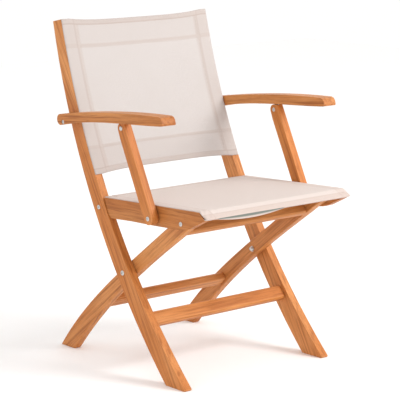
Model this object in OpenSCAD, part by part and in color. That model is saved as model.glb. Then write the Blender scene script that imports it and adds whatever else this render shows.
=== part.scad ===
// Folding deck chair in oiled teak with a mesh sling seat and back.
// Millimetres. X is across the chair (the sitter's left is +X), the front is -Y, Z is up.
// The origin is on the floor, under the middle of the chair.

/* [Widths] */
// Outer face of each long leg, from the middle of the chair
long_leg_outer = 243.8; // [235:0.1:250]
// Thickness of the long legs
long_leg_thick = 22.6; // [20:0.1:26]
// Thickness of the rear legs
rear_leg_thick = 22.7; // [20:0.1:25]
// Gap between a long leg and the rear leg inside it
leg_gap = 2.8; // [2.4:0.1:3.2]
// Outer face of each seat rail, from the middle of the chair
seat_rail_outer = 240.6; // [236:0.1:241]
// Width of an armrest
armrest_width = 41.5; // [36:0.5:46]

/* [Joints] */
// Height of the main pivot, where the legs cross
main_pivot_z = 257.8; // [257:0.1:259]
// Height of the seat hinge
seat_hinge_z = 437; // [436:0.1:438]
// Height of the armrest hinge on the long leg
arm_hinge_z = 629.1; // [628:0.1:631]
// Depth of the seat hinge pin below the top of the sling
hinge_depth = 8; // [7.5:0.1:8.5]
// Radius of the main pivot bolts
main_bolt_r = 4; // [3:0.1:4.5]
// Radius of the other bolts
small_bolt_r = 3; // [2.5:0.1:3.2]

/* [Rails] */
// Depth of the cross rails and stretchers
stretcher_deep = 38; // [30:1:40]
// Thickness of the cross rails and stretchers
stretcher_thick = 22; // [18:1:24]
// Thickness of the seat slats
slat_thick = 11; // [9:0.5:12]
// Thickness of the sling cloth with its hems
sling_thick = 2.5; // [2:0.1:3]

/* [Hidden] */
$fn = 48;

teak = [0.78, 0.50, 0.30];
steel = [0.75, 0.75, 0.76];
cloth = [0.93, 0.89, 0.87];

// Faces of the layers, measured outwards from the middle of the chair
long_leg_inner = long_leg_outer - long_leg_thick;
rear_leg_outer = long_leg_inner - leg_gap;
rear_leg_inner = rear_leg_outer - rear_leg_thick;
seat_rail_inner = long_leg_inner + 0.4;
support_inner = long_leg_outer + 0.4;
support_outer = support_inner + 22;
armrest_inner = long_leg_outer + 2.1;
armrest_outer = armrest_inner + armrest_width;
plate_thick = 2.2;

// Pivots in the side view, as [Y, Z]
main_pivot = [8.4, main_pivot_z];
slide_pin = [-223.5, 420.4];
seat_hinge = [78.5, seat_hinge_z];
plate_bolt = [106.1, 414.3];
arm_hinge = [198.6, arm_hinge_z];
support_top = [-21.4, 635.4];
support_foot = [-126.4, 422];

// Edges of the sawn pieces in the side view: four control points of a smooth curve each
long_front = [[261, 886], [170, 530], [20, 261], [-240, 4]];
long_rear = [[296, 879], [229, 550], [65, 243], [-165, -1]];
rear_top = [[323, -1], [201, 154], [30, 268], [-123, 381]];
rear_low = [[263, -1], [127, 157], [-41, 278], [-210, 393]];
arm_top = [[207, 648.7], [80, 668], [-60, 682], [-198, 684.8]];
arm_tip = [[-206, 682.3], [-211, 676.5], [-213.6, 668], [-213, 664.2]];
arm_low = [[207, 620.3], [66, 652.5], [-78, 650.5], [-210, 663]];
arm_heel = [209, 634.5];

// The top of the seat sling is a straight line from seat_back_y to seat_front
seat_slope = 2.65;
seat_front = [-293.8, 462.2];
seat_nose = [-318, 442];
function seat_top(y) = seat_front[1] - (y - seat_front[0]) * tan(seat_slope);
function off_seat(y, d) = [y - d * sin(seat_slope), seat_top(y) - d * cos(seat_slope)];

// A point on a smooth curve with four control points, and n + 1 points along it
function curve_at(c, t) = pow(1 - t, 3) * c[0] + 3 * pow(1 - t, 2) * t * c[1]
  + 3 * (1 - t) * t * t * c[2] + t * t * t * c[3];
function curve(c, n = 20, a = 0, b = 1) = [for (i = [0:n]) curve_at(c, a + (b - a) * i / n)];
function arc(p, r, from, to) = [for (i = [0:6])
  let (a = from + (to - from) * i / 6) p + r * [cos(a), sin(a)]];
function flip(p) = [for (i = [len(p) - 1:-1:0]) p[i]];
// Share of the long leg's front edge, from its top, at which it comes down to height z
function share(z, a = 0, b = 1, k = 24) = let (mid = (a + b) / 2)
  k == 0 ? a : curve_at(long_front, mid)[1] > z ? share(z, mid, b, k - 1) : share(z, a, mid, k - 1);
// A curve moved by d to the left of the way it runs
function shifted(c, d, n, a = 0, b = 1) = [for (i = [0:n])
  let (t = a + (b - a) * i / n, p = curve_at(c, t), q = curve_at(c, t + 0.001), v = q - p)
  p + d * [-v[1], v[0]] / norm(v)];

// Stands a side view drawing up between two layers of one side: s is 1 on the left and -1 on the right
module layer(s, inner, outer) {
  translate([s > 0 ? inner : -outer, 0, 0]) rotate([90, 0, 90]) linear_extrude(outer - inner) children();
}
// Stands a side view drawing up right across the chair
module across(half) { translate([-half, 0, 0]) rotate([90, 0, 90]) linear_extrude(2 * half) children(); }
// A round bar or hole across the chair at point p, between two layers of one side
module rod(s, p, r, inner, outer) { layer(s, inner, outer) translate(p) circle(r); }
// A low domed bolt head on the face at x, standing outwards for dir = 1 and inwards for dir = -1
module dome(s, p, r, h, x, dir = 1) {
  translate([s * x, p[0], p[1]]) rotate([0, s * dir * 90, 0])
    rotate_extrude()
      polygon([[0, 0], [r, 0], [r, h * 0.35], [r * 0.82, h * 0.72], [r * 0.5, h * 0.93], [0, h]]);
}
// A flat bar of a x b turned by angle, across the chair, with its corners cut by c
module bar(half, p, angle, a, b, c) {
  u = a / 2;
  v = b / 2;
  across(half) translate(p) rotate(angle)
    polygon([[c - u, -v], [u - c, -v], [u, c - v], [u, v - c],
      [u - c, v], [c - u, v], [-u, v - c], [-u, c - v]]);
}

/* The long legs: one sawn curve each, from the front foot to the top of the back */
module long_leg_outline() {
  intersection() {
    polygon(concat(curve(long_front), [[-239.6, 2], [-236, -1]], flip(curve(long_rear))));
    translate([-400, 0]) square([900, 1000]);
  }
}
module long_leg(s) {
  color(teak) difference() {
    layer(s, long_leg_inner, long_leg_outer) long_leg_outline();
    rod(s, main_pivot, main_bolt_r + 0.05, long_leg_inner - 1, long_leg_outer + 1);
    rod(s, plate_bolt, small_bolt_r + 0.05, long_leg_inner - 1, long_leg_outer + 1);
    rod(s, arm_hinge, small_bolt_r + 0.1, long_leg_inner + 3, long_leg_outer + 1);
    for (p = screw_at) rod(s, p, 2.05, long_leg_inner - 1, long_leg_inner + 12);
  }
}
module long_leg_left() { long_leg(1); }
module long_leg_right() { long_leg(-1); }

module stretcher(half, p, angle) { color(teak) bar(half, p, angle, stretcher_deep, stretcher_thick, 4); }
module front_stretcher() { stretcher(long_leg_inner, [-78, 148], 50); }

/* The two rails that hold the long legs apart behind the back sling */
// Centre of a back rail, just behind the front edge of the legs at height z
function back_rail_at(z) = let (p = curve_at(long_front, share(z))) p + [13.5, -4];
module back_rail_top() { color(teak) bar(long_leg_inner, back_rail_at(848), 74.7, 42, 18, 4); }
module back_rail_bottom() { color(teak) bar(long_leg_inner, back_rail_at(534), 65.3, 42, 18, 4); }

/* The back sling: a band of mesh stretched over the front edges of the long legs */
back_sling_low = 496;
module back_sling() {
  low = share(back_sling_low);
  color(cloth) across(long_leg_outer) difference() {
    polygon(concat(shifted(long_front, 2, 16, 0, low), flip(shifted(long_front, -sling_thick, 16, 0, low))));
    long_leg_outline();
  }
}

/* The seat hinges: a steel plate on the inner face of each long leg, with a pin into the seat rail */
screw_at = [[122, 428], [93, 399]];
module hinge_plates() {
  color(steel) for (s = [-1, 1]) difference() {
    layer(s, long_leg_inner - plate_thick, long_leg_inner)
      polygon(concat(arc(seat_hinge, 5.2, 95, 245), arc(screw_at[1], 8, 245, 320),
        arc(screw_at[0], 8, -40, 95)));
    rod(s, seat_hinge, small_bolt_r, long_leg_inner - 5, long_leg_inner + 1);
    rod(s, plate_bolt, small_bolt_r, long_leg_inner - 5, long_leg_inner + 1);
    for (p = screw_at) rod(s, p, 3.6, long_leg_inner - 5, long_leg_inner + 1);
  }
}
module hinge_plate_bolts() {
  color(steel) for (s = [-1, 1]) {
    rod(s, plate_bolt, small_bolt_r, long_leg_inner - plate_thick, long_leg_outer);
    dome(s, plate_bolt, 6, 2.6, long_leg_outer);
  }
}
module hinge_plate_screws() {
  color(steel) for (s = [-1, 1]) for (p = screw_at) {
    rod(s, p, 3.6, long_leg_inner - plate_thick, long_leg_inner);
    rod(s, p, 2, long_leg_inner, long_leg_inner + 11);
  }
}
module seat_hinge_pins() {
  color(steel) for (s = [-1, 1])
    rod(s, seat_hinge, small_bolt_r, long_leg_inner - plate_thick, seat_rail_inner + 13);
}

/* The main pivots: a bolt with a domed head outside, a washer between the legs and a cap nut inside */
module main_pivot_bolts() {
  color(steel) for (s = [-1, 1]) {
    rod(s, main_pivot, main_bolt_r, rear_leg_inner - 4, long_leg_outer);
    dome(s, main_pivot, 6.8, 3, long_leg_outer);
  }
}
module ring(s, p, r, bore, inner, outer) {
  difference() {
    rod(s, p, r, inner, outer);
    rod(s, p, bore, inner - 1, outer + 1);
  }
}
module main_pivot_washers() {
  color(steel) for (s = [-1, 1]) ring(s, main_pivot, 9, main_bolt_r, rear_leg_outer + 0.2, long_leg_inner);
}
module main_pivot_nuts() {
  color(steel) for (s = [-1, 1]) {
    ring(s, main_pivot, 7.5, main_bolt_r, rear_leg_inner - 1.4, rear_leg_inner - 0.2);
    difference() {
      dome(s, main_pivot, 6, 6.5, rear_leg_inner - 1.4, -1);
      rod(s, main_pivot, main_bolt_r, rear_leg_inner - 4, rear_leg_inner);
    }
  }
}

/* The rear legs: from the rear feet, through the main pivots, to the slides under the front of the seat */
slide_depth = 30.5;
module rear_leg(s) {
  color(teak) difference() {
    layer(s, rear_leg_inner, rear_leg_outer) intersection() {
      polygon(concat(curve(rear_top), [[-172, 416.5], [-212, 449]],
        arc([-262, 440], 11, 100, 220), [[-240, 414.5]], flip(curve(rear_low))));
      translate([-400, 0]) square([900, 1000]);
    }
    rod(s, main_pivot, main_bolt_r + 0.08, rear_leg_inner - 1, rear_leg_outer + 1);
    rod(s, slide_pin, small_bolt_r + 0.02, rear_leg_inner + 6, rear_leg_outer + 1);
  }
}
module rear_leg_left() { rear_leg(1); }
module rear_leg_right() { rear_leg(-1); }
module rear_stretcher() { stretcher(rear_leg_inner, [138, 152], 137); }
module top_cross_rail() { stretcher(rear_leg_inner, [-187.3, 400.4], 54); }
// The pins reach across the gap and run in the grooves of the seat rails
module slide_pins() {
  color(steel) for (s = [-1, 1]) rod(s, slide_pin, small_bolt_r, rear_leg_inner + 6, seat_rail_inner - 0.6);
}

/* The seat frame: two rails with a blind groove for the slide pins, and two slats under the sling */
groove_from = 85;
groove_to = 301;
groove_r = 3.6;
// A point d along the seat from the hinge, at depth h below the hinge line
function along_seat(d, h) = seat_hinge + d * [-cos(seat_slope), sin(seat_slope)]
  - h * [sin(seat_slope), cos(seat_slope)];
seat_rail_low = [[72.5, 408], [68, 399], [62, 393.5], [54, 392], [-26, 397], [-116, 400], [-218, 405],
  [-240, 408], [-256, 413], [-304, 437], [-313.5, 443]];
module seat_rail(s) {
  top = hinge_depth - sling_thick - 0.06;
  color(teak) difference() {
    layer(s, seat_rail_inner, seat_rail_outer)
      polygon(concat([for (a = [85:-15:-20]) seat_hinge + top * [cos(a), sin(a)]], seat_rail_low,
        [off_seat(seat_front[0], sling_thick)]));
    rod(s, seat_hinge, small_bolt_r + 0.1, seat_rail_inner - 1, seat_rail_inner + 14);
    rod(s, slide_pin, small_bolt_r + 0.02, seat_rail_inner, seat_rail_outer + 1);
    rod(s, support_foot, 4.5, seat_rail_outer - 12, seat_rail_outer + 1);
    layer(s, seat_rail_inner - 1, seat_rail_inner + 8)
      polygon([along_seat(groove_from, slide_depth - groove_r), along_seat(groove_to, slide_depth - groove_r),
        along_seat(groove_to, slide_depth + groove_r), along_seat(groove_from, slide_depth + groove_r)]);
    for (d = [groove_from, groove_to])
      rod(s, along_seat(d, slide_depth), groove_r, seat_rail_inner - 1, seat_rail_inner + 8);
  }
}
module seat_rail_left() { seat_rail(1); }
module seat_rail_right() { seat_rail(-1); }
module seat_slat(d) {
  depth = slat_thick / 2 - hinge_depth + sling_thick + 2;
  color(teak) bar(seat_rail_inner, along_seat(d, depth), -seat_slope, 40, slat_thick, 2.5);
}
module seat_slat_rear() { seat_slat(150); }
module seat_slat_front() { seat_slat(226); }
// The rear corners are slit for the hinge plates
slit_from = 60;
module seat_sling() {
  color(cloth) difference() {
    across(seat_rail_outer) polygon([off_seat(84, 0), seat_front,
      seat_nose + [-4, 3.5], seat_nose + [-3.2, 0], seat_nose + [0, -0.5], seat_nose + [1.2, 3.2],
      off_seat(seat_front[0], sling_thick),
      off_seat(84, sling_thick)]);
    for (s = [-1, 1]) layer(s, rear_leg_outer + 0.2, seat_rail_inner)
      translate([slit_from, 430]) square([40, 30]);
  }
}
module slide_stop_bolts() {
  color(steel) for (s = [-1, 1]) {
    rod(s, slide_pin, small_bolt_r, seat_rail_inner + 8, seat_rail_outer);
    dome(s, slide_pin, 6, 2.4, seat_rail_outer);
  }
}
module arm_support_inserts() {
  color(steel) for (s = [-1, 1])
    ring(s, support_foot, 4.5, small_bolt_r + 0.1, seat_rail_outer - 12, seat_rail_outer);
}

/* The armrests: sawn to a gentle arch, with a rounded heel on the hinge and a sloping tip */
module armrest(s) {
  color(teak) difference() {
    layer(s, armrest_inner, armrest_outer) {
      polygon(concat(curve(arm_top), arm_tip, flip(curve(arm_low))));
      translate(arm_heel) circle(14.3);
    }
    rod(s, arm_hinge, small_bolt_r + 0.05, armrest_inner - 1, armrest_outer + 1);
    rod(s, arm_hinge, 6, armrest_outer - 3, armrest_outer + 1);
    layer(s, support_inner + 9, support_inner + 13) translate(support_top + [-8, 0]) square([16, 22]);
  }
}
module armrest_left() { armrest(1); }
module armrest_right() { armrest(-1); }
// A steel tongue let into the underside of the armrest carries the support
module arm_tongue(s) {
  color(steel) difference() {
    layer(s, support_inner + 9, support_inner + 13) {
      translate(support_top + [-8, 0]) square([16, 22]);
      translate(support_top) circle(8);
    }
    rod(s, support_top, small_bolt_r + 0.08, support_inner, support_outer);
  }
}
module arm_tongue_left() { arm_tongue(1); }
module arm_tongue_right() { arm_tongue(-1); }
module arm_hinge_bolt(s) {
  color(steel) {
    rod(s, arm_hinge, small_bolt_r, long_leg_inner + 4, armrest_outer - 3);
    dome(s, arm_hinge, 5.7, 2.8, armrest_outer - 3);
  }
}
module arm_hinge_bolt_left() { arm_hinge_bolt(1); }
module arm_hinge_bolt_right() { arm_hinge_bolt(-1); }
module arm_hinge_washer(s) {
  color(steel) ring(s, arm_hinge, 7, small_bolt_r, long_leg_outer + 0.2, armrest_inner);
}
module arm_hinge_washer_left() { arm_hinge_washer(1); }
module arm_hinge_washer_right() { arm_hinge_washer(-1); }

/* The arm supports: a rounded foot bolted to the seat rail, and a slotted head on the tongue */
support_dir = (support_foot - support_top) / norm(support_foot - support_top);
support_side = [-support_dir[1], support_dir[0]];
// A point d below the head's pivot and w towards the rear
function on_support(d, w) = support_top + d * support_dir + w * support_side;
// The slot for the tongue is open at the top and the rear only
module arm_support(s) {
  head_r = 14;
  half = 16;
  reach = norm(support_foot - support_top);
  color(teak) difference() {
    layer(s, support_inner, support_outer) difference() {
      union() {
        translate(support_top) circle(head_r);
        translate(support_foot) circle(half);
        polygon([support_top + [0, 24], on_support(-24, -half), on_support(reach, -half),
          on_support(reach, half), on_support(22, half), on_support(0, head_r), support_top]);
      }
      translate([support_top[0] - 40, support_top[1] + 13.2]) square([80, 40]);
    }
    rod(s, support_top, small_bolt_r + 0.05, support_inner - 1, support_outer + 1);
    rod(s, support_top, 5.6, support_inner - 1, support_inner + 2.5);
    rod(s, support_foot, small_bolt_r + 0.05, support_inner - 1, support_outer + 1);
    layer(s, support_inner + 8.8, support_inner + 13.2) {
      translate(support_top) circle(8.5);
      translate(support_top + [-8.4, 0]) square([40, 30]);
      translate(support_top + [0, -12]) square([40, 30]);
    }
  }
}
module arm_support_left() { arm_support(1); }
module arm_support_right() { arm_support(-1); }
module support_top_bolt(s) {
  color(steel) {
    rod(s, support_top, small_bolt_r, support_inner + 2.5, support_outer);
    rod(s, support_top, 5.5, support_inner + 0.1, support_inner + 2.5);
    dome(s, support_top, 6, 2.4, support_outer);
  }
}
module support_top_bolt_left() { support_top_bolt(1); }
module support_top_bolt_right() { support_top_bolt(-1); }
module support_foot_bolt(s) {
  color(steel) {
    rod(s, support_foot, small_bolt_r, seat_rail_outer + 0.3, support_outer);
    dome(s, support_foot, 6, 2.4, support_outer);
  }
}
module support_foot_bolt_left() { support_foot_bolt(1); }
module support_foot_bolt_right() { support_foot_bolt(-1); }
module support_spacer(s) {
  color(steel) ring(s, support_foot, 8, small_bolt_r, seat_rail_outer + 0.3, support_inner);
}
module support_spacer_left() { support_spacer(1); }
module support_spacer_right() { support_spacer(-1); }

long_leg_left();
long_leg_right();
front_stretcher();
back_rail_top();
back_rail_bottom();
back_sling();
hinge_plates();
hinge_plate_bolts();
hinge_plate_screws();
seat_hinge_pins();
main_pivot_bolts();
main_pivot_washers();
main_pivot_nuts();
rear_leg_left();
rear_leg_right();
rear_stretcher();
top_cross_rail();
slide_pins();
seat_rail_left();
seat_rail_right();
seat_slat_rear();
seat_slat_front();
seat_sling();
slide_stop_bolts();
arm_support_inserts();
armrest_left();
armrest_right();
arm_tongue_left();
arm_tongue_right();
arm_hinge_bolt_left();
arm_hinge_bolt_right();
arm_hinge_washer_left();
arm_hinge_washer_right();
arm_support_left();
arm_support_right();
support_top_bolt_left();
support_top_bolt_right();
support_foot_bolt_left();
support_foot_bolt_right();
support_spacer_left();
support_spacer_right();
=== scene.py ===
"""Folding deck chair in oiled teak, with a mesh sling seat and back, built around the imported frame."""

import math

import bmesh
import bpy
import numpy as np
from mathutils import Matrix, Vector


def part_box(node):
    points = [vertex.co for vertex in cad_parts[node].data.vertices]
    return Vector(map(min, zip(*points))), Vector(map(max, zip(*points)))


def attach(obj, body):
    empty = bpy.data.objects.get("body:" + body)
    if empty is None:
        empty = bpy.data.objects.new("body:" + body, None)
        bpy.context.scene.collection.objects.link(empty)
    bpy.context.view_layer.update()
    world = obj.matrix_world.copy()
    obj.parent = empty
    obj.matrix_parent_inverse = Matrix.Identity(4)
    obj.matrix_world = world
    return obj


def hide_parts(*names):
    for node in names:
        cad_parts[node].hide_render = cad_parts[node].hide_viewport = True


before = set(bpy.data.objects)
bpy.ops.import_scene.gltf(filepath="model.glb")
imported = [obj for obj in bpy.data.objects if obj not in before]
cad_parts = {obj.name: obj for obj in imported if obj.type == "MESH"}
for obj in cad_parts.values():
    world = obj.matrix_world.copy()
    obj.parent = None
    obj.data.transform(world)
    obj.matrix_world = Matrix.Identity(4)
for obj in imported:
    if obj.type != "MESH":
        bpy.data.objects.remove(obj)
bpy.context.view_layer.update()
MM = 0.001


# Teak finish: sawn and sanded teak with a thin coat of oil. Its colour drifts slowly along a board, dark
# growth lines and short open pores run with the grain, and the ends of the boards drink more oil.
class Wire:
    """An output of a shader node. Sums and products of wires and numbers add Math nodes to its material."""

    def __init__(self, shader, socket):
        self.shader, self.socket = shader, socket

    def maths(self, operation, *others):
        return self.shader.node("ShaderNodeMath", {"operation": operation}, self, *others)

    def __add__(self, other):
        return self.maths("ADD", other)

    def __sub__(self, other):
        return self.maths("SUBTRACT", other)

    def __rsub__(self, other):
        return self.shader.node("ShaderNodeMath", {"operation": "SUBTRACT"}, other, self)

    def __mul__(self, other):
        return self.maths("MULTIPLY", other)

    __radd__, __rmul__ = __add__, __mul__

    def step(self, low, high):
        """0 below low, 1 above high, and smooth between them."""
        return self.shader.node("ShaderNodeMapRange", {"interpolation_type": "SMOOTHSTEP"}, self, low, high)

    def beside(self, name):
        """Another output of the same node."""
        return Wire(self.shader, self.socket.node.outputs[name])


class Shader:
    """One material: a Principled shader, with node() to add any other node in front of it."""

    def __init__(self, name, **values):
        self.material = bpy.data.materials.new(name)
        self.material.use_nodes = True
        self.tree = self.material.node_tree
        self.tree.nodes.clear()
        self.surface = self.tree.nodes.new("ShaderNodeBsdfPrincipled")
        output = self.tree.nodes.new("ShaderNodeOutputMaterial")
        self.tree.links.new(self.surface.outputs[0], output.inputs["Surface"])
        self.set(**values)

    def put(self, socket, value):
        """Links a wire to a socket, or sets a plain value on it."""
        if isinstance(value, Wire):
            self.tree.links.new(value.socket, socket)
        elif socket.type == "RGBA":
            socket.default_value = (*value, 1.0)
        else:
            socket.default_value = value

    def set(self, **values):
        """Sets sockets of the Principled shader, with the spaces in their names written as underscores."""
        for name, value in values.items():
            self.put(self.surface.inputs[name.replace("_", " ")], value)

    def node(self, kind, settings, *values, out=0, **named):
        """Adds a node with its settings, fills its sockets in order or by name, and returns one output."""
        made = self.tree.nodes.new(kind)
        for name, value in settings.items():
            setattr(made, name, value)
        for socket, value in zip(made.inputs, values):
            self.put(socket, value)
        for name, value in named.items():
            self.put(made.inputs[name], value)
        return Wire(self, made.outputs[out])

    def mix(self, share, first, second, way="MIX"):
        """first where share is 0 and second where it is 1."""
        made = self.tree.nodes.new("ShaderNodeMix")
        made.data_type, made.blend_type = "RGBA", way
        for socket, value in ((made.inputs[0], share), (made.inputs[6], first), (made.inputs[7], second)):
            self.put(socket, value)
        return Wire(self, made.outputs[2])

    def noise(self, place, scale, detail, rough=0.55, swirl=0.0):
        """Noise with its own scale along each axis, in features per metre."""
        stretched = self.node("ShaderNodeVectorMath", {"operation": "MULTIPLY"}, place, scale)
        return self.node("ShaderNodeTexNoise", {}, Vector=stretched, Scale=1.0, Detail=detail,
                         Roughness=rough, Distortion=swirl)

    def attribute(self, name):
        return self.node("ShaderNodeAttribute", {"attribute_name": name}, out="Fac")

    def bump(self, height, depth):
        raised = self.node("ShaderNodeBump", {}, Strength=1.0, Distance=depth, Height=height, out="Normal")
        self.set(Normal=raised)


TEAK_PALE = (0.68, 0.290, 0.095)
TEAK_MID = (0.51, 0.166, 0.034)
TEAK_DEEP = (0.25, 0.064, 0.010)
TEAK_LINE = (0.14, 0.038, 0.010)
GRAIN_DEPTH = 0.25 * MM


def teak(name, turn, seed, tone):
    """Turns the object's coordinates so that y runs with the grain, then lays drift, growth lines, streaks,
    fibres and pores over each other. The growth lines are the crests of a sine of the two directions across
    the grain, swayed by slow noise. A tone under 1 is darker and redder, as more oil makes it."""
    wood = Shader(name, Coat_Weight=0.03, Coat_Roughness=0.35, Specular_IOR_Level=0.22)
    where = wood.node("ShaderNodeTexCoord", {}, out="Object")
    shift = (seed * 0.37, seed * 0.53, seed * 0.19)
    place = wood.node("ShaderNodeMapping", {"vector_type": "POINT"}, where, shift, turn)
    drift = wood.noise(place, (9, 1.6, 9), 3)
    sway = wood.noise(place, (16, 1.7, 16), 2, 0.5, 0.4)
    streak = wood.noise(place, (130, 4.5, 130), 4, 0.6, 0.3)
    fibre = wood.noise(place, (420, 8, 420), 4, 0.65)
    pores = wood.noise(place, (1300, 26, 1300), 2).step(0.58, 0.72)
    across = wood.node("ShaderNodeSeparateXYZ", {}, place, out="X")
    rings = (across * 260.0 + across.beside("Z") * 420.0 + sway * 26.0).maths("SINE")
    lines = (rings * 0.5 + 0.5).step(0.55, 1.0)
    colour = wood.mix(drift.step(0.34, 0.66), TEAK_MID, TEAK_PALE)
    colour = wood.mix(lines * streak.step(0.35, 0.6) * 0.4, colour, TEAK_DEEP)
    colour = wood.mix(streak.step(0.48, 0.7) * 0.45, colour, TEAK_DEEP)
    colour = wood.mix(fibre.step(0.45, 0.7) * 0.35, colour, TEAK_DEEP)
    colour = wood.mix(pores * 0.45, colour, TEAK_LINE)
    facing = wood.node("ShaderNodeTexCoord", {}, out="Normal")
    facing = wood.node("ShaderNodeMapping", {"vector_type": "POINT"}, facing, (0, 0, 0), turn)
    ends = wood.node("ShaderNodeSeparateXYZ", {}, facing, out="Y").maths("ABSOLUTE").step(0.75, 0.93)
    colour = wood.mix(ends * 0.2, colour, TEAK_DEEP)
    colour = wood.mix(wood.attribute("eased") * 0.35, colour, TEAK_PALE)
    wood.set(Base_Color=wood.mix(1.0, colour, (tone, tone ** 1.3, tone ** 1.8), "MULTIPLY"))
    wood.set(Roughness=fibre * 0.16 + pores * 0.15 + 0.38)
    wood.bump(fibre * 0.5 - pores * 0.9, GRAIN_DEPTH)
    return wood.material


# Timber: every sawn piece of the chair, its long edges eased with a router as the maker does it. Each is
# the CAD solid with its facets merged, its outer edges rounded by a few millimetres and its bolt holes left
# sharp. A bore is known by the middle of its bolt or pin in the side view.
BORED_FOR = ("main_pivot_bolts", "hinge_plate_bolts", "slide_stop_bolts", "seat_hinge_pins", "slide_pins",
             "arm_hinge_bolt_left", "support_top_bolt_left", "support_foot_bolt_left")
BORES = np.array([[(low[i] + high[i]) / 2 for i in (1, 2)] for low, high in map(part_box, BORED_FOR)])
BORE_REACH = 6.8 * MM
WELD = 0.02 * MM
FLAT_FACETS = math.radians(0.6)
EASED_FROM = math.radians(24)
SHORTEST_EASED = 1.2 * MM
CROSS_PIECE = 200 * MM


def points_of(mesh):
    """The mesh's vertices as rows of x, y and z."""
    points = np.empty(len(mesh.vertices) * 3)
    mesh.vertices.foreach_get("co", points)
    return points.reshape(-1, 3)


def in_bore(vertex):
    return np.hypot(*(BORES - (vertex.co.y, vertex.co.z)).T).min() < BORE_REACH


def is_arris(edge):
    """Whether the maker would ease this edge: a corner of the outside, not the rim or seam of a hole."""
    if not edge.is_manifold or edge.calc_face_angle(0) <= EASED_FROM or edge.calc_length() <= SHORTEST_EASED:
        return False
    return not (in_bore(edge.verts[0]) and in_bore(edge.verts[1]))


def grain_turn(points):
    """The turn that brings the piece's longest direction onto y: a quarter turn for a piece wide enough to
    run across the chair, and otherwise the slope of the piece's main direction in the side view."""
    if np.ptp(points[:, 0]) > CROSS_PIECE:
        return (0.0, 0.0, math.radians(90))
    side = points[:, 1:] - points[:, 1:].mean(0)
    run = np.linalg.svd(side, full_matrices=False)[2][0]
    return (-math.atan2(run[1], run[0]), 0.0, 0.0)


def smooth(mesh, angle):
    mesh.shade_smooth()
    mesh.set_sharp_from_angle(angle=math.radians(angle))


def timber(node, body, seed, ease, tone):
    """A CAD node's solid, its edges eased by ease millimetres. The eased faces are marked for the wear."""
    piece = bpy.data.objects.new(node + "_teak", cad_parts[node].data.copy())
    bpy.context.scene.collection.objects.link(piece)
    shape = bmesh.new()
    shape.from_mesh(piece.data)
    bmesh.ops.remove_doubles(shape, verts=shape.verts, dist=WELD)
    bmesh.ops.dissolve_limit(shape, angle_limit=FLAT_FACETS, verts=shape.verts, edges=shape.edges)
    mark = shape.faces.layers.float.new("eased")
    made = bmesh.ops.bevel(shape, geom=[edge for edge in shape.edges if is_arris(edge)], offset=ease * MM,
                           offset_type="OFFSET", segments=3, profile=0.5, affect="EDGES", clamp_overlap=True)
    for face in made["faces"]:
        face[mark] = 1.0
    bmesh.ops.recalc_face_normals(shape, faces=shape.faces)
    shape.to_mesh(piece.data)
    shape.free()
    piece.data.materials.clear()
    piece.data.materials.append(teak(node, grain_turn(points_of(piece.data)), seed, tone))
    smooth(piece.data, 33)
    piece.modifiers.new("even_faces", "WEIGHTED_NORMAL").keep_sharp = True
    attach(piece, body)
    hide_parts(node)


# Rows of node, grain seed, how far the edges are eased in millimetres, and tone
TIMBER = {
    "back_frame": (("long_leg_left", 3, 3.0, 1.05), ("long_leg_right", 8, 3.0, 1.06),
                   ("front_stretcher", 12, 2.0, 1.0), ("back_rail_top", 17, 2.0, 1.0),
                   ("back_rail_bottom", 21, 2.0, 1.0)),
    "rear_legs": (("rear_leg_left", 26, 2.8, 0.96), ("rear_leg_right", 31, 2.8, 0.97),
                  ("rear_stretcher", 36, 2.0, 1.0), ("top_cross_rail", 41, 2.0, 0.93)),
    "seat_frame": (("seat_rail_left", 45, 1.8, 0.9), ("seat_rail_right", 50, 1.8, 0.84),
                   ("seat_slat_rear", 55, 1.5, 1.0), ("seat_slat_front", 60, 1.5, 1.0)),
    "arm_left": (("armrest_left", 64, 5.0, 0.95),),
    "arm_right": (("armrest_right", 70, 5.0, 0.9),),
    "support_left": (("arm_support_left", 75, 3.0, 1.12),),
    "support_right": (("arm_support_right", 81, 3.0, 1.1),),
}
for body, pieces in TIMBER.items():
    for node, seed, ease, tone in pieces:
        timber(node, body, seed, ease, tone)


# Steel: stainless button-head bolts with a hexagon socket, each on the face, head and shank of its plain CAD
# bolt. The other steel parts keep their CAD shape and get the same finely scratched metal.
def brushed_steel():
    """Grey metal whose roughness changes in fine scratches."""
    metal = Shader("stainless", Base_Color=(0.60, 0.59, 0.58), Metallic=1.0)
    place = metal.node("ShaderNodeTexCoord", {}, out="Object")
    scratch = metal.noise(place, (900, 2600, 2600), 3, 0.6)
    metal.set(Roughness=scratch * 0.22 + 0.2)
    metal.bump(scratch, 0.04 * MM)
    return metal.material


STEEL = brushed_steel()
ROUND = 48
LEAD_IN = 0.4 * MM
SOCKET_LIP = 0.5 * MM


def surface(name, points, closed_u=False, attributes=(), keep=None):
    """A grid of points (rows, columns, 3) as a mesh. closed_u joins the last column to the first, and keep
    says which cells of the grid become faces."""
    rows, columns = points.shape[:2]
    index = np.arange(rows * columns).reshape(rows, columns)
    right = np.roll(index, -1, axis=1) if closed_u else index[:, 1:]
    left = index if closed_u else index[:, :-1]
    quads = np.stack([left[:-1], right[:-1], right[1:], left[1:]], axis=-1)
    quads = quads.reshape(-1, 4) if keep is None else quads[keep]
    mesh = bpy.data.meshes.new(name)
    mesh.from_pydata(points.reshape(-1, 3).tolist(), [], quads.tolist())
    for label, values in attributes:
        layer = mesh.attributes.new(label, "FLOAT", "POINT")
        layer.data.foreach_set("value", values.astype(np.float32).ravel())
    piece = bpy.data.objects.new(name, mesh)
    bpy.context.scene.collection.objects.link(piece)
    return piece


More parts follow.
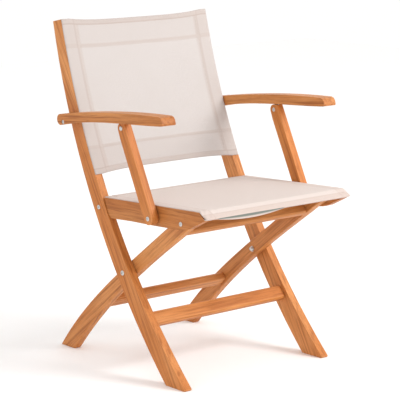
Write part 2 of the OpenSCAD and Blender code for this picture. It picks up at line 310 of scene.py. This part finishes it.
def closed(piece):
    """Welds poles and seams, turns every face outwards and smooths all but the sharp edges."""
    shape = bmesh.new()
    shape.from_mesh(piece.data)
    bmesh.ops.remove_doubles(shape, verts=shape.verts, dist=0.01 * MM)
    bmesh.ops.dissolve_degenerate(shape, edges=shape.edges, dist=0.005 * MM)
    bmesh.ops.recalc_face_normals(shape, faces=shape.faces)
    shape.to_mesh(piece.data)
    shape.free()
    smooth(piece.data, 40)
    return piece


def button_head(side, inner, face, top, centre, shank, head, socket):
    """Profile by angle. Each ring has a radius, a distance from the middle plane, and 1 where it follows a
    hexagon. The profile runs out along the shank, over the domed head and down the hexagon socket."""
    rise = top - face
    rings = [(0, inner, 0), (shank - LEAD_IN, inner, 0), (shank, inner + LEAD_IN, 0), (shank, face, 0),
             (head, face, 0), (head, face + 0.3 * rise, 0), (0.95 * head, face + 0.5 * rise, 0),
             (0.84 * head, face + 0.74 * rise, 0), (0.68 * head, face + 0.92 * rise, 0),
             (socket + SOCKET_LIP, top, 0), (socket, top - 0.12 * rise, 1), (socket, face + 0.15 * rise, 1),
             (0, face + 0.1 * rise, 0)]
    angle = np.arange(ROUND) * 2 * math.pi / ROUND
    hexagon = math.cos(math.pi / 6) / np.cos((angle % (math.pi / 3)) - math.pi / 6)
    radius = np.array([r * (hexagon if hexed else np.ones(ROUND)) for r, _, hexed in rings])
    x = np.array([[side * along] * ROUND for _, along, _ in rings])
    return np.stack([x, centre[0] + radius * np.cos(angle), centre[1] + radius * np.sin(angle)], axis=-1)


def bolts(node, body, rise, shank, socket=2.1):
    """One bolt for each side on which the CAD node has one. Its sizes are in millimetres."""
    points = points_of(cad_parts[node].data)
    for side, label in ((1, "left"), (-1, "right")):
        here = points[points[:, 0] * side > 0]
        if len(here):
            reach = here[:, 0] * side
            centre = (here[:, 1:].min(0) + here[:, 1:].max(0)) / 2
            head = np.ptp(here[:, 1]) / 2
            rings = button_head(side, reach.min(), reach.max() - rise * MM, reach.max(), centre,
                                shank * MM, head, socket * MM)
            name = node if node.endswith(label) else f"{node}_{label}"
            piece = closed(surface(name + "_turned", rings, closed_u=True))
            piece.data.materials.append(STEEL)
            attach(piece, body)
            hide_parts(node)


bolts("main_pivot_bolts", "back_frame", 3.0, 4.0, 2.6)
bolts("hinge_plate_bolts", "back_frame", 2.6, 3.0)
bolts("slide_stop_bolts", "seat_frame", 2.4, 3.0)
steel_nodes = ["hinge_plates", "hinge_plate_screws", "seat_hinge_pins", "main_pivot_washers",
               "main_pivot_nuts", "slide_pins", "arm_support_inserts"]
for side in ("left", "right"):
    bolts("arm_hinge_bolt_" + side, "arm_" + side, 2.8, 3.0)
    bolts("support_foot_bolt_" + side, "support_" + side, 2.4, 3.0)
    steel_nodes += [part + side for part in ("arm_tongue_", "arm_hinge_washer_", "support_top_bolt_",
                                             "support_spacer_")]
for node in steel_nodes:
    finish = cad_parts[node].data.materials
    finish.clear()
    finish.append(STEEL)


# Sling cloth: vinyl-coated polyester yarn woven into an open mesh, cream, about a millimetre from yarn to
# yarn. Where it is folded double for a hem or a sleeve it is less open, and looks a shade warmer and darker.
# The hollows between the yarns are painted darker as shade, less so where the cloth is doubled.
BACK_CREAM = (0.60, 0.556, 0.533)
SEAT_CREAM = (0.70, 0.608, 0.560)
DOUBLED = (0.90, 0.845, 0.815)
# Darker colour of the seams, also painted into the hollows between the yarns as shade.
STITCH_AND_PIT_SHADE = (0.74, 0.665, 0.63)
FADED = (1.03, 1.03, 1.04)
# Painted shade: the dark grey-green laid on the loose turned-under end behind the front hem.
UNDER_SHADE = (0.17, 0.19, 0.165)
YARN = 1.25 * MM
CLOTH_THICK = 1.4 * MM
HEM = 14 * MM
THREAD = 1.4 * MM


def sling_cloth(name, cream):
    """Yarns are products of cosines of the two cloth coordinates, over and under in turn."""
    cloth = Shader(name, Sheen_Weight=0.15, Sheen_Roughness=0.5, Specular_IOR_Level=0.3)
    warp = cloth.attribute("warp") * (math.pi / YARN)
    weft = cloth.attribute("weft") * (math.pi / YARN)
    over = warp.maths("COSINE") * weft.maths("COSINE")
    # Painted shade: the hollows between the yarns, where the cosines cross zero.
    pits = (over.maths("ABSOLUTE") * -1.0 + 1.0).step(0.55, 1.0)
    place = cloth.node("ShaderNodeTexCoord", {}, out="Object")
    cloudy = cloth.noise(place, (6, 6, 6), 3)
    double = cloth.attribute("double")
    stitch = cloth.attribute("stitch")
    colour = cloth.mix(double, cream, DOUBLED, "MULTIPLY")
    colour = cloth.mix(stitch * 0.75, colour, STITCH_AND_PIT_SHADE, "MULTIPLY")
    # Painted shade in the hollows of the weave, weaker where the cloth is doubled.
    colour = cloth.mix(pits * (0.2 - double * 0.08), colour, STITCH_AND_PIT_SHADE, "MULTIPLY")
    colour = cloth.mix(cloudy.step(0.35, 0.7) * 0.5, colour, FADED, "MULTIPLY")
    # Painted shade: the 'shade' attribute lays a dark grey-green over the loose turned-under end.
    colour = cloth.mix(cloth.attribute("shade"), colour, UNDER_SHADE)
    cloth.set(Base_Color=colour, Roughness=cloudy * 0.1 + 0.62)
    cloth.bump(over * (1.0 - stitch * 0.5), 0.3 * MM)
    return cloth.material


def within(distance, width, soft=1.2 * MM):
    """1 within width of zero distance, falling to 0 over soft."""
    return np.clip((width - np.abs(distance)) / soft + 0.5, 0, 1)


def finish_cloth(piece, node, body, cream):
    """Gives a cloth surface its weave, and its thickness on the side away from the sitter."""
    piece.data.materials.append(sling_cloth(node + "_mesh", cream))
    piece.data.shade_smooth()
    wall = piece.modifiers.new("cloth_thickness", "SOLIDIFY")
    wall.thickness = CLOTH_THICK
    wall.offset = -1.0
    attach(piece, body)
    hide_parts(node)


# Back sling: one rectangle of mesh with a sleeve down each side, stretched over the front edges of the long
# legs. Its top and bottom edges have a hem, and a pocket seam holds each teak rail behind it.
BACK_ACROSS, BACK_DOWN = 190, 150
BACK_INSET = 0.8 * MM
SLEEVE = 43 * MM
SLEEVE_SEAM = 6 * MM
POCKET = 72 * MM
BAND = 9 * MM
BACK_SAG = 2.6 * MM
WAIST = 8 * MM
WAIST_REACH = 90 * MM


def leg_line(points):
    """The wood side of the CAD sling in the side view, as a polynomial y(z) through its rear vertices."""
    y, z = points[:, 1:].T
    middle = np.polyfit(z, y, 4)
    rear = y > np.polyval(middle, z)
    return np.polyfit(z[rear], y[rear], 4)


def back_sling():
    """Down by across. The cloth stands proud of the legs' front edge, a little more where it is doubled. It
    rolls back at its two sides and sags between the legs as the root of a half sine, and its top and bottom
    edges draw in towards the middle, which fades out as an exponential."""
    low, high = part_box("back_sling")
    line = leg_line(points_of(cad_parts["back_sling"].data))
    half = high.x - BACK_INSET
    x = np.linspace(half, -half, BACK_ACROSS)[None, :]
    z = np.linspace(high.z - 0.5 * MM, low.z + 0.5 * MM, BACK_DOWN)[:, None]
    y = np.polyval(line, z)
    slope = np.polyval(np.polyder(line), z)
    length = np.hypot(1, slope)
    down = np.concatenate([[0], np.cumsum(np.hypot(np.diff(y[:, 0]), np.diff(z[:, 0])))])[:, None]
    from_top, from_bottom, from_side = down + 0 * x, down[-1] - down + 0 * x, half - np.abs(x) + 0 * z
    hems = np.maximum(within(from_top, HEM), within(from_bottom, HEM))
    sleeves = within(from_side, SLEEVE)
    bands = np.maximum(within(from_top - POCKET, BAND / 2), within(from_bottom - POCKET, BAND / 2))
    pockets = np.maximum(within(from_top, POCKET), within(from_bottom, POCKET))
    inside = np.clip(1 - ((np.abs(x) / (half - 24 * MM)) ** 4), 0, 1)
    sag = BACK_SAG * inside * np.sin(np.pi * down / down[-1]) ** 0.5
    waist = WAIST * inside * (np.exp(-from_bottom / WAIST_REACH) - np.exp(-from_top / WAIST_REACH))
    roll = 1.6 * MM * np.clip(1 - from_side / (5 * MM), 0, 1) ** 2
    proud = 1.5 * MM + 0.7 * MM * np.maximum(hems, sleeves) + 0.5 * MM * bands - roll
    ripple = np.sin(from_top * 2 * math.pi / (11 * MM))
    puckers = 0.25 * MM * ripple * within(from_side - SLEEVE, 7 * MM, 5 * MM)
    out = proud + puckers - sag
    front = np.stack([x + 0 * z, y - out / length + waist * slope / length,
                      z + (out * slope + waist) / length], axis=-1)
    joins = within(from_side - SLEEVE, SLEEVE_SEAM)
    seams = np.maximum(0.5 * within(from_side - SLEEVE + SLEEVE_SEAM, THREAD),
                       0.8 * within(from_top - HEM, THREAD))
    seams = np.maximum(seams, 0.8 * within(from_bottom - HEM, THREAD))
    layers = np.clip(0.45 * sleeves + 0.85 * hems + 0.25 * pockets + 0.8 * bands + 0.6 * joins, 0, 1.3)
    piece = surface("back_sling_mesh", front, attributes=(
        ("warp", x + 0 * z), ("weft", down + 0 * x), ("double", layers), ("stitch", seams)))
    finish_cloth(piece, "back_sling", "back_frame", BACK_CREAM)


back_sling()


# Seat sling: the same mesh in a slightly different cream over the two seat rails, drawn down over their
# sloping noses to a front hem. The turned-under end is loose and hangs in a shallow curve behind the hem,
# where it is painted a dark grey-green as shade, and the rear of the cloth is slit on both sides for the
# hinge plates.
SEAT_ACROSS = 180
SEAT_SAG = 2.4 * MM
SIDE_HEM = 30 * MM
FRONT_HEM = 16 * MM
PLATE_SLIT = np.array([218.4, 221.8]) * MM
SLIT_FROM = 59 * MM
LOOSE_DROP = 10 * MM
LOOSE_MIDDLE, LOOSE_HALF = -0.095, 0.112
LOOSE_START, LOOSE_FULL = 1.5 * MM, 4.5 * MM


def seat_track(low, high, points):
    """The side view from the rear edge over the ridge of the nose to the turned-under end, with the lengths
    along it to the ridge and to the hem."""
    tail = points[np.abs(points[:, 1] - high.y) < 0.5 * MM]
    rear = np.array([high.y, tail[:, 2].max()])
    ridge = points[np.argmax(points[:, 2])][1:]
    nose = np.array([low.y + 0.5 * MM, low.z + 5 * MM])
    under = nose + np.array([4.5, -4.0]) * MM
    end = under + np.array([26, 5]) * MM
    stretches = ((rear, ridge, 120), (ridge, nose, 26), (nose, under, 16), (under, end, 22))
    track = np.concatenate([a + (b - a) * np.linspace(0, 1, n, endpoint=False)[:, None]
                            for a, b, n in stretches] + [[end]])
    for _ in range(3):
        track[1:-1] = (track[:-2] + 2 * track[1:-1] + track[2:]) / 4
    flat_run = np.linalg.norm(ridge - rear)
    return track, flat_run, flat_run + np.linalg.norm(nose - ridge)


def seat_sling():
    """Along the track by across. The cloth sags between the rails as a power of a half sine, rounds over at
    its sides and puckers in a damped sine at the front corners. Past the hem it drops in the shape of a
    lens, a parabola across with its middle on the sitter's right, and there it is painted dark as shade."""
    low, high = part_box("seat_sling")
    half = high.x
    track, flat_run, nose_run = seat_track(low, high, points_of(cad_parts["seat_sling"].data))
    step = np.gradient(track, axis=0)
    step /= np.linalg.norm(step, axis=1)[:, None]
    outward = np.stack([step[:, 1], -step[:, 0]], axis=1)
    run = np.concatenate([[0], np.cumsum(np.linalg.norm(np.diff(track, axis=0), axis=1))])[:, None]
    columns = np.concatenate([np.linspace(-half, half, SEAT_ACROSS), PLATE_SLIT, -PLATE_SLIT])
    x = np.sort(columns)[None, ::-1]
    from_side = half - np.abs(x) + 0 * run
    span = np.clip(1 - (np.abs(x) / (half - 20 * MM)) ** 3, 0, 1)
    sag = SEAT_SAG * span * np.sin(np.pi * np.clip(run / flat_run, 0, 1)) ** 0.7 * (run < flat_run)
    lens = np.clip(1 - ((x - LOOSE_MIDDLE) / LOOSE_HALF) ** 2, 0, 1)
    past_hem = (run - nose_run - LOOSE_START) / LOOSE_FULL
    loose = LOOSE_DROP * lens * np.clip(past_hem, 0, 1)
    # Painted shade: marks where the loose end hangs behind the hem, to be coloured dark grey-green.
    shade = np.clip(lens * 6, 0, 1) * np.clip(past_hem * 6 + 1, 0, 1) * np.clip((0.62 - past_hem) * 5, 0, 1)
    tuck = 1.4 * MM * np.clip(1 - from_side / (5 * MM), 0, 1) ** 2
    front_hem = within(run - nose_run + 0 * x, FRONT_HEM)
    corner = np.clip(1 - from_side / (70 * MM), 0, 1) * np.clip(1 - np.abs(run - flat_run) / (60 * MM), 0, 1)
    pucker = 0.8 * MM * corner * np.sin((from_side + 0.6 * (run - flat_run)) * 2 * math.pi / (17 * MM))
    out = -sag - tuck + pucker + 0.5 * MM * front_hem
    cut = np.stack([x + 0 * run, track[:, :1] + outward[:, :1] * out,
                    track[:, 1:] + outward[:, 1:] * out - loose], axis=-1)
    middle_x, middle_y = np.moveaxis((cut[:-1, :-1] + cut[1:, 1:])[..., :2] / 2, -1, 0)
    slit = (np.abs(middle_x) > PLATE_SLIT[0]) & (np.abs(middle_x) < PLATE_SLIT[1]) & (middle_y > SLIT_FROM)
    hem_line = within(run - (nose_run - FRONT_HEM) + 0 * x, 1.6 * MM, 1.5 * MM)
    seams = np.maximum(0.5 * hem_line, 0.5 * within(from_side - SIDE_HEM, THREAD))
    seams = np.maximum(seams, 0.6 * within(run - HEM + 0 * x, THREAD))
    hems = 0.5 * within(from_side, SIDE_HEM) + 0.6 * within(run + 0 * x, HEM) + 0.9 * front_hem
    piece = surface("seat_sling_mesh", cut, keep=~slit, attributes=(
        ("warp", x + 0 * run), ("weft", run + 0 * x), ("double", np.clip(hems, 0, 1.3)), ("stitch", seams),
        ("shade", shade)))
    finish_cloth(piece, "seat_sling", "seat_frame", SEAT_CREAM)


seat_sling()


# Studio: a pale floor that runs out of sight, a white surround, and one large soft lamp high at the front on
# the sitter's left.
CAMERA_AT = (-2.8932, -3.4968, 1.2916)
CAMERA_YAW, CAMERA_PITCH, CAMERA_ROLL = (math.radians(angle) for angle in (39.7, 10.9, 0.2))
FLOOR_HALF = 6.0
LAMP_AT = np.array([2.0, -3.2, 2.8])
LAMP_AIM = np.array([0.0, 0.0, 0.5])

camera = bpy.data.objects.new("camera", bpy.data.cameras.new("camera"))
bpy.context.scene.collection.objects.link(camera)
camera.location = CAMERA_AT
camera.rotation_mode = "XYZ"
camera.rotation_euler = (math.radians(90) - CAMERA_PITCH, CAMERA_ROLL, -CAMERA_YAW)
camera.data.lens = 159.3
camera.data.sensor_width = 36.0
bpy.context.scene.camera = camera

floor = surface("floor", np.array([[(-FLOOR_HALF, -FLOOR_HALF, 0), (FLOOR_HALF, -FLOOR_HALF, 0)],
                                   [(-FLOOR_HALF, FLOOR_HALF, 0), (FLOOR_HALF, FLOOR_HALF, 0)]]))
floor.data.materials.append(Shader("pale_floor", Base_Color=(0.97, 0.97, 0.97), Roughness=0.9).material)

world = bpy.data.worlds.new("studio")
bpy.context.scene.world = world
world.use_nodes = True
world.node_tree.nodes["Background"].inputs["Color"].default_value = (1.0, 0.99, 0.98, 1.0)
world.node_tree.nodes["Background"].inputs["Strength"].default_value = 1.02

lamp = bpy.data.objects.new("key", bpy.data.lights.new("key", "AREA"))
lamp.data.size = 1.8
lamp.data.energy = 120
lamp.location = LAMP_AT
toward = LAMP_AIM - LAMP_AT
lamp.rotation_euler = (math.atan2(np.hypot(toward[0], toward[1]), -toward[2]), 0,
                       math.atan2(-toward[0], toward[1]))
bpy.context.scene.collection.objects.link(lamp)
bpy.context.scene.view_settings.view_transform = "Standard"
